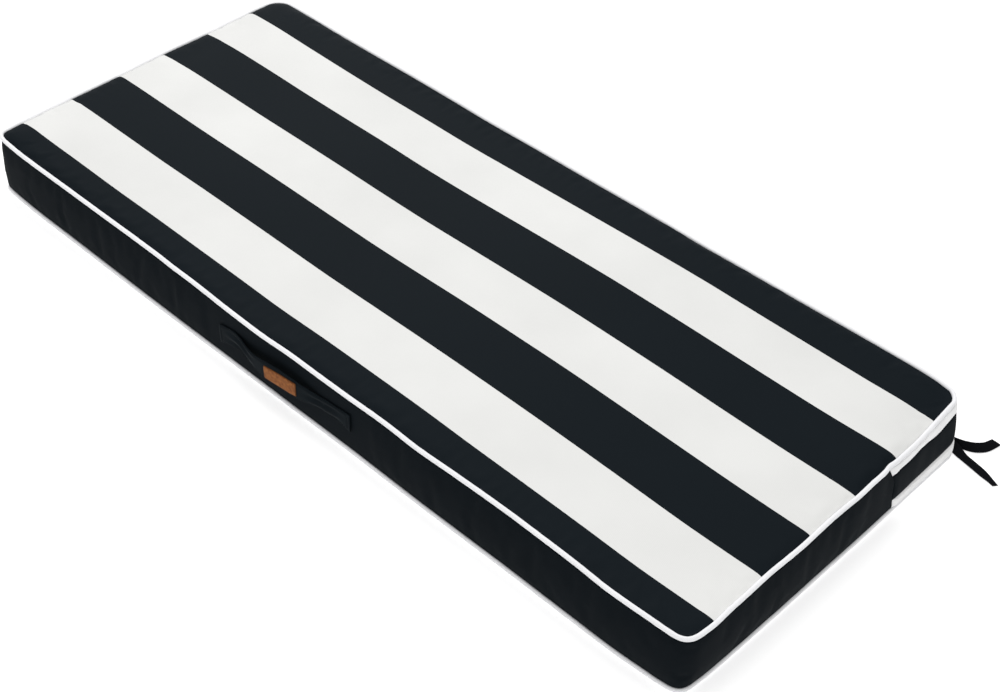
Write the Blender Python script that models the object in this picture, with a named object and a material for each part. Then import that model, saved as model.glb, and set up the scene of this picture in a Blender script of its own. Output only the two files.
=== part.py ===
"""Bench cushion: a filled box cushion with piped edges, a zip band, a carrying strap and two tie tails.

+X runs along the bench, +Y to its back and +Z up, in metres. The origin is the middle of the resting face.
Every piece of cloth follows the two seams, a lower and an upper one, that run round the cushion.
"""

import math

import bmesh
import bpy
import numpy as np

# Seams, from piping centre to piping centre
SEAM_LENGTH = 1.196
SEAM_DEPTH = 0.499
SEAM_RISE = 0.086
PIPING_RADIUS = 0.0029
PIPING_SIDES = 8
GAP = 0.0003
LOWER_SEAM = PIPING_RADIUS + GAP
UPPER_SEAM = LOWER_SEAM + SEAM_RISE

# Filled cover
GROOVE_RADIUS = PIPING_RADIUS + 0.0008
SWELL_SHAPE = 0.6
CROWN_EDGE = 0.014
RESTING_EDGE = 0.010
RESTING_ROLL = 0.0055
SIDE_HEIGHTS = (0.010, 0.024, 0.042, 0.060, 0.075, 0.083)
PANEL_INSETS = (0.006, 0.011, 0.018)
PANEL_SHARES = (0.10, 0.28, 0.60, 1.0)

# Zip band round the back, with the white strip over and under it
ZIP_BAND_LOW = 0.0243
ZIP_BAND_HIGH = 0.0747
STRIP_TOP = 0.0856
STRIP_BOTTOM = 0.0068
STRIP_THICKNESS = 0.0011
BAND_THICKNESS = 0.0016
ZIP_END_STATION = 9

# Carrying strap on the front, and its label, a little crooked on it
STRAP_THICKNESS = 0.0024
STRAP_ROWS = 4
STRAP_STEPS = 2
LABEL_LENGTH = 0.056
LABEL_WIDTH = 0.0208
LABEL_THICKNESS = 0.0013
LABEL_CENTRE = 0.0012
LABEL_HEIGHTS = (0.0489, 0.0536)
LABEL_STEPS = 9

# Tie tails
TAPE_WIDTH = 0.012
TAPE_THICKNESS = 0.0012
TAPE_STEPS = 18

# Each corner, counterclockwise from the front right: its side in x and y, the plan radius of the upper and
# the lower seam, and how far the filling pushes the side out
CORNERS = (
    {"x": 1, "y": -1, "upper": 0.022, "lower": 0.033, "swell": 0.0035},
    {"x": 1, "y": 1, "upper": 0.043, "lower": 0.016, "swell": 0.0026},
    {"x": -1, "y": 1, "upper": 0.026, "lower": 0.028, "swell": 0.0026},
    {"x": -1, "y": -1, "upper": 0.040, "lower": 0.024, "swell": 0.0022},
)
CORNER_STEPS = 5
LONG_STEPS = 32
SHORT_STEPS = 12

# How far each seam wanders outwards, by the place along its side: at, upper, lower
FRONT_SWAY = (
    (-0.560, -0.0006, -0.0010),
    (-0.400, -0.0010, 0.0000),
    (-0.270, -0.0015, 0.0008),
    (-0.180, -0.0002, 0.0008),
    (-0.052, 0.0027, 0.0002),
    (0.030, 0.0009, 0.0003),
    (0.090, 0.0010, -0.0005),
    (0.160, -0.0003, 0.0002),
    (0.220, 0.0011, 0.0007),
    (0.360, -0.0021, 0.0000),
    (0.420, -0.0016, 0.0004),
    (0.495, 0.0012, 0.0006),
    (0.560, -0.0006, -0.0010),
)
RIGHT_SWAY = (
    (-0.205, 0.0006, 0.0000),
    (-0.120, -0.0009, 0.0000),
    (-0.066, 0.0005, 0.0000),
    (-0.010, -0.0004, 0.0003),
    (0.032, 0.0008, 0.0006),
    (0.080, -0.0002, 0.0008),
    (0.205, 0.0000, 0.0000),
)
BACK_SWAY = (
    (-0.550, 0.0000, 0.0000),
    (-0.300, 0.0000, 0.0000),
    (-0.170, -0.0020, 0.0000),
    (-0.060, -0.0016, 0.0000),
    (0.060, -0.0005, 0.0000),
    (0.207, -0.0016, 0.0000),
    (0.290, 0.0008, 0.0000),
    (0.550, 0.0006, 0.0000),
)
LEFT_SWAY = (
    (-0.205, -0.0032, -0.0006),
    (-0.110, -0.0026, 0.0000),
    (-0.050, -0.0016, 0.0000),
    (0.050, 0.0008, 0.0000),
    (0.205, 0.0014, 0.0000),
)

# Height of the top panel over the upper seam, by the place along the cushion: at, front, middle, back
CROWN = (
    (-0.575, 0.0061, 0.0056, 0.0067),
    (-0.500, 0.0052, 0.0058, 0.0065),
    (-0.380, 0.0035, 0.0049, 0.0028),
    (-0.260, 0.0039, 0.0051, 0.0010),
    (-0.140, 0.0025, 0.0040, 0.0003),
    (-0.040, 0.0022, 0.0040, 0.0022),
    (0.080, 0.0038, 0.0070, 0.0045),
    (0.200, 0.0036, 0.0083, 0.0062),
    (0.300, 0.0023, 0.0073, 0.0066),
    (0.420, 0.0008, 0.0041, 0.0039),
    (0.500, -0.0006, 0.0025, 0.0028),
    (0.575, 0.0008, 0.0026, 0.0026),
)
CROWN_PLACES = (-0.207, -0.010, 0.188)

# The strap from its left sewn end to its right one: at, clear of the side, height of its middle, width
STRAP_PATH = (
    (-0.1180, 0.0005, 0.0450, 0.0300),
    (-0.1050, 0.0005, 0.0487, 0.0276),
    (-0.0900, 0.0005, 0.0519, 0.0262),
    (-0.0780, 0.0014, 0.0526, 0.0232),
    (-0.0650, 0.0038, 0.0509, 0.0216),
    (-0.0500, 0.0062, 0.0496, 0.0228),
    (-0.0350, 0.0071, 0.0495, 0.0258),
    (-0.0200, 0.0071, 0.0509, 0.0274),
    (0.0000, 0.0068, 0.0524, 0.0273),
    (0.0200, 0.0065, 0.0527, 0.0268),
    (0.0350, 0.0054, 0.0523, 0.0256),
    (0.0500, 0.0031, 0.0529, 0.0220),
    (0.0620, 0.0013, 0.0529, 0.0201),
    (0.0750, 0.0005, 0.0532, 0.0222),
    (0.0900, 0.0005, 0.0547, 0.0208),
    (0.1020, 0.0005, 0.0546, 0.0236),
    (0.1130, 0.0005, 0.0538, 0.0262),
)

# The tie tails, from the lower seam to the free end: x, y, z of the tape's middle, and its lean from lying flat,
# in degrees
UPPER_TAIL = (
    (0.5560, 0.2564, 0.0068, 90.0),
    (0.5740, 0.2574, 0.0067, 90.0),
    (0.5900, 0.2593, 0.0066, 90.0),
    (0.6030, 0.2631, 0.0066, 78.0),
    (0.6136, 0.2690, 0.0060, 56.0),
    (0.6200, 0.2780, 0.0050, 38.0),
    (0.6254, 0.2975, 0.0028, 8.0),
)
LOWER_TAIL = (
    (0.5560, 0.2543, 0.0068, 90.0),
    (0.5720, 0.2546, 0.0067, 90.0),
    (0.5860, 0.2546, 0.0064, 78.0),
    (0.5960, 0.2529, 0.0048, 38.0),
    (0.6060, 0.2500, 0.0029, 6.0),
    (0.6240, 0.2453, 0.0030, -14.0),
    (0.6450, 0.2404, 0.0030, -15.0),
    (0.6628, 0.2356, 0.0028, -12.0),
)


def spline(rows, column, at):
    """Values of one column of a table at any places, on a smooth curve through the table's rows."""
    table = np.array(rows)
    places = table[:, 0]
    values = table[:, column]
    slopes = np.gradient(values, places)
    at = np.clip(at, places[0], places[-1])
    left = np.clip(np.searchsorted(places, at, side="right") - 1, 0, len(places) - 2)
    width = places[left + 1] - places[left]
    share = (at - places[left]) / width
    start_weight = (1 + 2 * share) * (1 - share) ** 2
    end_weight = share ** 2 * (3 - 2 * share)
    start_slope = share * (1 - share) ** 2 * width
    end_slope = -share ** 2 * (1 - share) * width
    return (start_weight * values[left] + end_weight * values[left + 1]
            + start_slope * slopes[left] + end_slope * slopes[left + 1])


class Seams:
    """The stations round the cushion: their places on both seams, which way is out, and the swell."""

    def __init__(self):
        half_length = SEAM_LENGTH / 2
        half_depth = SEAM_DEPTH / 2
        sides = (
            (1, RIGHT_SWAY, SHORT_STEPS),
            (0, BACK_SWAY, LONG_STEPS),
            (1, LEFT_SWAY, SHORT_STEPS),
            (0, FRONT_SWAY, LONG_STEPS),
        )
        rows = []
        for number, corner in enumerate(CORNERS):
            next_corner = CORNERS[(number + 1) % 4]
            axis, sway, steps = sides[number]
            turn = math.radians(90 * number - 90)
            for step in range(CORNER_STEPS + 1):
                angle = turn + math.radians(90) * step / CORNER_STEPS
                out = (math.cos(angle), math.sin(angle))
                places = []
                for level in ("upper", "lower"):
                    radius = corner[level]
                    places += (corner["x"] * (half_length - radius) + radius * out[0],
                               corner["y"] * (half_depth - radius) + radius * out[1])
                rows.append((*places, *out, corner["swell"]))
            side_angle = turn + math.radians(90)
            out = (round(math.cos(side_angle)), round(math.sin(side_angle)))
            for step in range(1, steps):
                share = step / steps
                places = []
                for column, level in ((1, "upper"), (2, "lower")):
                    start = self.corner_end(corner, level, axis, half_length, half_depth)
                    end = self.corner_end(next_corner, level, axis, half_length, half_depth)
                    along = start + (end - start) * share
                    across = (half_length, half_depth)[1 - axis] * out[1 - axis]
                    across += spline(sway, column, along) * out[1 - axis]
                    places += (across, along) if axis == 1 else (along, across)
                swell = corner["swell"] + (next_corner["swell"] - corner["swell"]) * share
                rows.append((*places, *out, swell))
        table = np.array(rows)
        self.upper = table[:, 0:2]
        self.lower = table[:, 2:4]
        self.out = table[:, 4:6]
        self.swell = table[:, 6]

    @staticmethod
    def corner_end(corner, level, axis, half_length, half_depth):
        """Where a corner's arc meets a side that runs along the axis."""
        side = corner["y"] if axis == 1 else corner["x"]
        reach = half_depth if axis == 1 else half_length
        return side * (reach - corner[level])

    def side_ring(self, height, clear=0.0):
        """The ring of points on the swollen side at a height, a little clear of it where asked."""
        share = (height - LOWER_SEAM) / SEAM_RISE
        bow = math.sin(math.pi * share) ** SWELL_SHAPE
        reach = (self.swell * bow + clear)[:, None]
        flat = self.lower + (self.upper - self.lower) * share + self.out * reach
        return np.column_stack([flat, np.full(len(flat), height)])

    def seam_ring(self, upper, reach, height):
        """The ring of points at a reach outwards from a seam and at a height."""
        flat = (self.upper if upper else self.lower) + self.out * reach
        return np.column_stack([flat, np.full(len(flat), height)])

    def spine(self):
        """For each station, the point of the middle line that the top panel runs to."""
        reach = (SEAM_LENGTH - SEAM_DEPTH) / 2
        mean_radius = sum(corner["upper"] for corner in CORNERS) / len(CORNERS)
        straight = SEAM_LENGTH / 2 - mean_radius
        back = np.linspace(straight, -straight, LONG_STEPS + 1)
        ends = CORNER_STEPS + SHORT_STEPS
        along = np.concatenate([
            np.full(ends + CORNER_STEPS + 1, straight), back[1:-1],
            np.full(ends + CORNER_STEPS + 1, -straight), back[-2:0:-1],
        ])
        return np.column_stack([np.clip(along, -reach, reach), np.zeros(len(along))])


def crown_height(flat, inset):
    """Height of the top panel at points in plan, each at an inset from the upper seam."""
    front, middle, back = (spline(CROWN, column, flat[:, 0]) for column in (1, 2, 3))
    near, mid, far = CROWN_PLACES
    across = flat[:, 1]
    height = (front * (across - mid) * (across - far) / ((near - mid) * (near - far))
              + middle * (across - near) * (across - far) / ((mid - near) * (mid - far))
              + back * (across - near) * (across - mid) / ((far - near) * (far - mid)))
    return UPPER_SEAM + height * np.tanh(inset / CROWN_EDGE)


def material(name, colour, roughness):
    """A cloth or leather material with its colour and roughness."""
    made = bpy.data.materials.new(name)
    made.use_nodes = True
    shader = made.node_tree.nodes["Principled BSDF"]
    shader.inputs["Base Color"].default_value = (*colour, 1.0)
    shader.inputs["Roughness"].default_value = roughness
    shader.inputs["Metallic"].default_value = 0.0
    return made


def add_object(name, mesh_builder, colour, roughness):
    """One named object, closed and facing outwards, from a filled bmesh."""
    bmesh.ops.remove_doubles(mesh_builder, verts=mesh_builder.verts, dist=0.00005)
    bmesh.ops.dissolve_degenerate(mesh_builder, edges=mesh_builder.edges, dist=0.00005)
    bmesh.ops.triangulate(mesh_builder, faces=mesh_builder.faces)
    bmesh.ops.recalc_face_normals(mesh_builder, faces=mesh_builder.faces)
    mesh = bpy.data.meshes.new(name)
    mesh_builder.to_mesh(mesh)
    mesh_builder.free()
    mesh.shade_smooth()
    mesh.set_sharp_from_angle(angle=math.radians(50))
    mesh.materials.append(material(name, colour, roughness))
    made = bpy.data.objects.new(name, mesh)
    bpy.context.scene.collection.objects.link(made)
    return made


def loft(rings, closed_rows, closed_columns):
    """A bmesh of quads between rings of points: rows joined end to end, or capped, and likewise columns."""
    builder = bmesh.new()
    grid = [[builder.verts.new(point) for point in ring] for ring in rings]
    count = len(grid[0])
    row_pairs = len(grid) if closed_rows else len(grid) - 1
    column_pairs = count if closed_columns else count - 1
    for row in range(row_pairs):
        upper = grid[(row + 1) % len(grid)]
        for column in range(column_pairs):
            after = (column + 1) % count
            builder.faces.new((grid[row][column], grid[row][after], upper[after], upper[column]))
    if not closed_rows:
        builder.faces.new(reversed(grid[0]))
        builder.faces.new(grid[-1])
    return builder


def groove_rings(seams, upper, angles):
    """Rings of the groove in which a seam's piping lies, at angles round the piping."""
    height = UPPER_SEAM if upper else LOWER_SEAM
    return [seams.seam_ring(upper, GROOVE_RADIUS * math.cos(math.radians(angle)),
                            height + GROOVE_RADIUS * math.sin(math.radians(angle))) for angle in angles]


def cushion_body(seams):
    """The filled cover: flat underneath, swollen sides, drawn in at both seams, crowned on top."""
    rings = [seams.seam_ring(False, -RESTING_EDGE, 0.0)]
    rings.append(seams.seam_ring(False, -RESTING_ROLL, LOWER_SEAM - GROOVE_RADIUS * 0.8))
    rings += groove_rings(seams, False, (200, 150, 100))
    rings += [seams.side_ring(height) for height in SIDE_HEIGHTS]
    rings += groove_rings(seams, True, (-100, -150, -200))
    for inset in PANEL_INSETS:
        flat = seams.upper - seams.out * inset
        rings.append(np.column_stack([flat, crown_height(flat, inset)]))
    edge = rings[-1][:, :2]
    spine = seams.spine()
    for share in PANEL_SHARES:
        flat = edge + (spine - edge) * share
        inset = np.hypot(*(flat - seams.upper).T)
        rings.append(np.column_stack([flat, crown_height(flat, inset)]))
    builder = bmesh.new()
    grid = [[builder.verts.new(point) for point in ring] for ring in rings]
    count = len(grid[0])
    for lower, upper in zip(grid, grid[1:]):
        for column in range(count):
            after = (column + 1) % count
            builder.faces.new((lower[column], lower[after], upper[after], upper[column]))
    builder.faces.new(reversed(grid[0]))
    return add_object("cushion_body", builder, (0.80, 0.80, 0.79), 0.9)


def piping(seams, name, upper):
    """A round welt that follows a seam all the way round."""
    height = UPPER_SEAM if upper else LOWER_SEAM
    reach = PIPING_RADIUS / math.cos(math.pi / PIPING_SIDES)
    rings = []
    for side in range(PIPING_SIDES):
        angle = math.tau * (side + 0.5) / PIPING_SIDES
        rings.append(seams.seam_ring(upper, reach * math.cos(angle), height + PIPING_RADIUS * math.sin(angle)))
    return add_object(name, loft(rings, True, True), (0.86, 0.87, 0.89), 0.85)


def zip_stations():
    """The stations that the zip band covers, from the right end round the back to the left end."""
    first = CORNER_STEPS + ZIP_END_STATION
    half = CORNER_STEPS + SHORT_STEPS
    last = half + CORNER_STEPS + LONG_STEPS + CORNER_STEPS + SHORT_STEPS - ZIP_END_STATION
    return slice(first, last + 1)


def zip_piece(seams, name, heights, thickness, colour):
    """A flat piece on the side, round the back, between the first and the last of its heights."""
    covered = zip_stations()
    inner = [seams.side_ring(height, GAP * 1.4)[covered] for height in heights]
    outer = [seams.side_ring(height, GAP * 1.4 + thickness)[covered] for height in heights]
    sections = np.stack(inner + outer[::-1])
    stations = [sections[:, number] for number in range(sections.shape[1])]
    return add_object(name, loft(stations, False, True), colour, 0.9)


def front_side(seams, along, heights, clear):
    """Points on the front side at places along it, each at a height and clear of it by a distance."""
    first = 4 * CORNER_STEPS + 2 * SHORT_STEPS + LONG_STEPS
    front = slice(first, first + LONG_STEPS + 1)
    wrapped = np.r_[np.arange(len(seams.upper)), 0][front]
    share = (heights - LOWER_SEAM) / SEAM_RISE
    upper = np.interp(along, seams.upper[wrapped, 0], seams.upper[wrapped, 1])
    lower = np.interp(along, seams.lower[wrapped, 0], seams.lower[wrapped, 1])
    swell = np.interp(along, seams.lower[wrapped, 0], seams.swell[wrapped])
    bow = np.sin(np.pi * share) ** SWELL_SHAPE
    across = lower + (upper - lower) * share - swell * bow - clear
    return np.column_stack([along, across, heights])


def strap_section(seams, along, middle, width, clear, thickness):
    """One closed section across the strap, or a piece on it: upright, clear of the side by a distance."""
    heights = middle + width * np.linspace(-0.5, 0.5, STRAP_ROWS)
    places = np.full(STRAP_ROWS, along)
    near = front_side(seams, places, heights, clear)
    far = front_side(seams, places, heights, clear + thickness)
    return np.vstack([near, far[::-1]])


def handle(seams):
    """The carrying strap: sewn flat at both ends, drawn narrow beside them and bowed out between."""
    rows = np.array(STRAP_PATH)
    steps = np.arange((len(rows) - 1) * STRAP_STEPS + 1) / STRAP_STEPS
    places = np.interp(steps, np.arange(len(rows)), rows[:, 0])
    clear, middle, width = (spline(STRAP_PATH, column, places) for column in (1, 2, 3))
    sections = [strap_section(seams, places[step], middle[step], width[step], clear[step], STRAP_THICKNESS)
                for step in range(len(places))]
    return add_object("handle_strap", loft(sections, False, True), (0.012, 0.014, 0.016), 0.85)


def label(seams):
    """The leather label on the strap's outer face."""
    shares = np.linspace(0.0, 1.0, LABEL_STEPS + 1)
    places = LABEL_CENTRE + LABEL_LENGTH * (shares - 0.5)
    middle = np.interp(shares, (0.0, 1.0), LABEL_HEIGHTS)
    clear = spline(STRAP_PATH, 1, places) + STRAP_THICKNESS + GAP
    sections = [strap_section(seams, places[step], middle[step], LABEL_WIDTH, clear[step], LABEL_THICKNESS)
                for step in range(LABEL_STEPS + 1)]
    return add_object("handle_label", loft(sections, False, True), (0.33, 0.12, 0.045), 0.6)


def tie_tail(name, route):
    """A flat tape along a route, leaning over by each row's angle, with square ends."""
    table = np.array(route)
    steps = np.hypot(np.hypot(*np.diff(table[:, :2], axis=0).T), np.diff(table[:, 2]))
    along = np.concatenate([[0.0], np.cumsum(steps)])
    rows = np.column_stack([along, table])
    stations = np.linspace(0.0, along[-1], TAPE_STEPS)
    places = np.column_stack([spline(rows, column, stations) for column in (1, 2, 3)])
    lean = np.radians(spline(rows, 4, stations))[:, None]
    run = np.gradient(places, axis=0)
    run /= np.linalg.norm(run, axis=1)[:, None]
    level = np.column_stack([-run[:, 1], run[:, 0], np.zeros(TAPE_STEPS)])
    level /= np.linalg.norm(level, axis=1)[:, None]
    rise = np.cross(run, level)
    across = level * np.cos(lean) + rise * np.sin(lean)
    face = np.cross(run, across)
    half_width = TAPE_WIDTH / 2
    half_thickness = TAPE_THICKNESS / 2
    corners = ((-1, -1), (1, -1), (1, 1), (-1, 1))
    rings = np.stack([places + across * half_width * wide + face * half_thickness * thick
                      for wide, thick in corners])
    sections = [rings[:, number] for number in range(TAPE_STEPS)]
    return add_object(name, loft(sections, False, True), (0.010, 0.010, 0.011), 0.85)


def build():
    """Every piece of the cushion."""
    for old in list(bpy.data.objects):
        bpy.data.objects.remove(old, do_unlink=True)
    seams = Seams()
    cushion_body(seams)
    piping(seams, "bottom_piping", False)
    piping(seams, "top_piping", True)
    white = (0.80, 0.80, 0.80)
    black = (0.012, 0.014, 0.016)
    zip_piece(seams, "zip_strip_lower", (STRIP_BOTTOM, 0.010, ZIP_BAND_LOW - GAP), STRIP_THICKNESS, white)
    zip_piece(seams, "zip_band", (ZIP_BAND_LOW, 0.042, 0.060, ZIP_BAND_HIGH), BAND_THICKNESS, black)
    zip_piece(seams, "zip_strip_upper", (ZIP_BAND_HIGH + GAP, 0.083, STRIP_TOP), STRIP_THICKNESS, white)
    handle(seams)
    label(seams)
    tie_tail("tie_tail_upper", UPPER_TAIL)
    tie_tail("tie_tail_lower", LOWER_TAIL)


build()
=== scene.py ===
"""Bench cushion: a filled box cushion with a striped cover, piped edges, a zip panel, a carrying strap and ties.

Metres, in the CAD frame: +X along the bench, +Y to its back, +Z up, the floor at z = 0. Every piece of cloth
follows the two seams, a lower and an upper one, that run round the cushion.
"""

import math

import bpy
import numpy as np
from mathutils import Matrix, Vector


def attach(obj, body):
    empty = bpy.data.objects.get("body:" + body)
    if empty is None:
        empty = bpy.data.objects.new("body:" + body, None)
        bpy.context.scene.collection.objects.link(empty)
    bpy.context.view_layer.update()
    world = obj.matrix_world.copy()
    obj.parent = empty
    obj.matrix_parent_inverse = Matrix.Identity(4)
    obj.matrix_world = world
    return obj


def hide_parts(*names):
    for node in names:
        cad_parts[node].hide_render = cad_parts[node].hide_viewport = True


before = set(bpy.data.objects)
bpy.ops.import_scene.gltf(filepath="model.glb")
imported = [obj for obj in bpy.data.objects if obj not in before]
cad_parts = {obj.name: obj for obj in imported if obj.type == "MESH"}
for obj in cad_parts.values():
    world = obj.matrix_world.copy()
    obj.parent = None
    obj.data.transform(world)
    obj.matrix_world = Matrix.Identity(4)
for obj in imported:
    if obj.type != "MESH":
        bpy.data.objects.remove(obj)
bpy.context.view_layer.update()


def tenths(*rows):
    """A table written in tenths of a millimetre, in metres."""
    return np.array(rows) / 10000


# Seams, from piping centre to piping centre
SEAM_LENGTH = 1.196
SEAM_DEPTH = 0.499
SEAM_RISE = 0.086
PIPING_RADIUS = 0.0029
LOWER_SEAM = 0.0032
UPPER_SEAM = LOWER_SEAM + SEAM_RISE

# Filled cover
GROOVE_RADIUS = PIPING_RADIUS + 0.00015
SWELL_SHAPE = 0.6
CROWN_EDGE = 0.014
FULLNESS = 0.006
SETTLE_CAP = 0.0018
PANEL_INSET = 0.026
RESTING_EDGE = 0.012
STRIPE_EDGES = (-0.2067, -0.1284, -0.0485, 0.0306, 0.1088, 0.1871)

# Rings of the filled cover: angles round each piping's centre in degrees, heights on the side, insets of the top
# panel's outer rings, and where its even blend to the inner ring starts
LOWER_GROOVE = (205, 180, 150, 120, 100)
UPPER_GROOVE = (-100, -120, -150, -182)
SIDE_HEIGHTS = (0.0082, 0.0105, 0.0135, *np.linspace(0.017, 0.0755, 17), 0.079, 0.0818, 0.0840)
PANEL_STEPS = (0.0038, 0.0050, 0.0066)
PANEL_BLEND = 0.0088
# Stations before each corner over which the inner ring's points draw together, and frames of the simulation
DRAWN_STATIONS = 20
SETTLE_FRAMES = 20
MILLIMETRE = 0.001

# Zip panel round the back: the heights of the four edges of its three pieces, where its seam crosses each end
# (height, y), and how its black band's upper edge wavers (distance from that seam, height)
ZIP_EDGES = (0.0066, 0.0248, 0.0748, 0.0858)
ZIP_SEAM = tenths(
    (50, 1145), (180, 1108), (334, 1072), (698, 1018), (747, 995), (858, 930),
)
BAND_WAVER = tenths(
    (0, -34), (40, -22), (100, 4), (170, 6), (250, 4), (380, 10), (500, 25), (700, 2), (780, -20), (880, -38),
    (1100, -28), (1300, -8), (1600, 0),
)
ZIP_STATIONS = 640
ZIP_WAVER = 0.0004
ZIP_WRINKLE = 0.0003
ZIP_THINNING = 0.006

# Carrying strap and its label
STRAP_THICKNESS = 0.0024
STRAP_STITCHING = 0.84
STRAP_END = 0.004
STRAP_STATIONS = 200
STRAP_FOLDS = (0.0011, 0.0009)
STRAP_EDGE = 8
LABEL_LENGTH = 0.0548
LABEL_WIDTH = 0.0198
LABEL_THICKNESS = 0.0013
LABEL_CENTRE = 0.0009
LABEL_HEIGHTS = (0.0484, 0.0534)
LABEL_CORNER = 0.0016
LABEL_BOW = 0.0005

# Sewing thread: half its thickness, how far a stitch stands up, a stitch's length and the way to the next one,
# and where a stitch line lies on a white strip, in from the black band and clear of the side
THREAD_RADIUS = 0.0003
THREAD_RISE = 0.0003
STITCH_LENGTH = 0.0030
STITCH_PITCH = 0.0036
ZIP_STITCH_INSET = 0.0022
ZIP_STITCH_CLEAR = 0.0021

# Tie tails
TAPE_WIDTH = 0.012
TAPE_THICKNESS = 0.0012
TAPER_LENGTH = 0.026

# The weave's cell and depth on the canvas
CANVAS_CELL = 0.0022
CANVAS_DEPTH = 0.00005

# Each corner, counterclockwise from the front right: its side in x and y, the plan radius of the upper and
# the lower seam, how far the filling pushes the side out, and how far the corner of each seam stands out
CORNERS = (
    {"x": 1, "y": -1, "upper": 0.022, "lower": 0.020, "swell": 0.0035, "pull": (0.0, -0.0041)},
    {"x": 1, "y": 1, "upper": 0.022, "lower": 0.016, "swell": 0.0026, "pull": (-0.0083, 0.0)},
    {"x": -1, "y": 1, "upper": 0.026, "lower": 0.028, "swell": 0.0026, "pull": (-0.0018, 0.0)},
    {"x": -1, "y": -1, "upper": 0.026, "lower": 0.024, "swell": 0.0022, "pull": (-0.0028, 0.0003)},
)
CORNER_STEPS = 12
LONG_STEPS = 200
SHORT_STEPS = 80

# How far each seam wanders outwards, by the place along its side: at, upper, lower
FRONT_SWAY = tenths(
    (-5780, -34, -30), (-5600, -24, -22), (-5350, -12, -12), (-5090, -9, -6), (-4380, -11, -2), (-3700, -12, 2),
    (-2710, -15, 8), (-2390, -13, 8), (-2060, -3, 8), (-1750, -2, 8), (-1440, 6, 6), (-1120, 18, 4),
    (-820, 23, 3), (-520, 28, 2), (-240, 23, 2), (20, 11, 3), (570, 10, -1), (1110, 6, -3), (1620, -3, 2),
    (1880, 2, 4), (2150, 11, 6), (2390, 7, 6), (2630, -2, 5), (3100, -15, 3), (3560, -21, 0), (4020, -16, 3),
    (4480, -7, 5), (4700, 2, 6), (4930, 13, 6), (5140, 10, 2), (5500, -2, -18), (5620, -6, -24),
    (5760, -13, -39),
)
RIGHT_SWAY = tenths(
    (-2270, -4, -39), (-2130, 8, -26), (-1840, 0, -14), (-1580, -2, -9), (-1180, -8, -4), (-790, 5, 0),
    (-660, 8, 0), (-370, 2, 1), (-90, -2, 3), (180, 5, 5), (320, 10, 6), (620, 3, 8), (850, 0, 7),
    (940, -14, 6), (1040, -3, 5), (1180, -2, 4), (1500, -10, 0), (1870, -41, 0), (2150, -64, 0), (2335, -77, 0),
)
BACK_SWAY = tenths(
    (-5500, -6, 0), (-4630, -12, 0), (-2650, -12, 0), (-2170, -18, 0), (-1690, -28, 0), (-800, -21, 0),
    (50, -22, 0), (1060, -18, 0), (1680, -21, 0), (2070, -28, 0), (2810, -21, 0), (3800, -14, 0), (4920, -4, 0),
    (5300, -6, 0), (5580, -22, 0), (5800, -58, 0),
)
LEFT_SWAY = tenths(
    (-2320, -66, -10), (-2090, -57, -6), (-1600, -46, -3), (-1110, -39, 0), (-570, -30, 0), (480, -6, 0),
    (1050, -10, 0), (2020, 1, 0),
)

# Height of the top panel over the upper seam in tenths of a millimetre, brought to millimetres, by the place along
# the cushion, in millimetres, and on each edge between two bands, from the front one to the back one
CROWN = np.array((
    (-605, 44, 50, 63, 43, 49, 73), (-585, 49, 53, 65, 43, 49, 72), (-560, 62, 62, 67, 42, 51, 73),
    (-540, 55, 62, 66, 49, 58, 74), (-460, 46, 53, 57, 50, 57, 50), (-380, 34, 45, 52, 43, 40, 28),
    (-300, 38, 51, 56, 43, 32, 13), (-220, 32, 48, 53, 41, 29, 10), (-140, 25, 42, 45, 31, 15, 3),
    (-60, 14, 37, 41, 30, 22, 17), (20, 36, 50, 57, 48, 43, 33), (100, 42, 63, 78, 67, 63, 48),
    (180, 43, 66, 84, 79, 77, 62), (260, 26, 62, 83, 74, 73, 66), (340, 19, 49, 65, 61, 60, 51),
    (420, 8, 28, 42, 38, 43, 39), (500, -11, 6, 23, 23, 33, 27), (560, 3, 10, 20, 25, 43, 23),
    (585, 10, 14, 22, 29, 48, 3), (605, 12, 16, 23, 31, 50, -7),
)) / (1000, 10, 10, 10, 10, 10, 10)

# Soft upright ripples in the side: x, y of the seam over each, its depth and width, and how far its foot stands
# along from its head
RIPPLES = tenths(
    (-1990, -2495, 9, 70, -60), (-2580, -2495, 6, 90, -200), (-3550, -2495, 4, 120, 80),
    (2250, -2495, 5, 100, 60), (3800, -2495, 4, 120, -80), (5980, -1020, 10, 45, 100), (5980, -610, 7, 60, 80),
    (5980, -1500, 4, 80, 60), (5980, 300, 4, 90, -60), (-5980, 400, 6, 80, 60), (-5980, -900, 6, 70, -60),
)

# The strap from its left sewn end to its right one: at, clear of the side, height of its middle, width
STRAP_PATH = tenths(
    (-1180, 5, 450, 300), (-1050, 5, 487, 276), (-900, 5, 519, 262), (-780, 14, 526, 232), (-650, 38, 509, 216),
    (-500, 62, 496, 228), (-350, 71, 495, 258), (-200, 71, 509, 274), (0, 68, 524, 273), (200, 65, 527, 268),
    (350, 54, 523, 256), (500, 31, 529, 220), (620, 13, 529, 201), (750, 5, 532, 222), (900, 5, 547, 208),
    (1020, 5, 546, 236), (1130, 5, 538, 262),
)
STRAP_FROM, STRAP_TO = STRAP_PATH[0][0], STRAP_PATH[-1][0]

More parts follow.
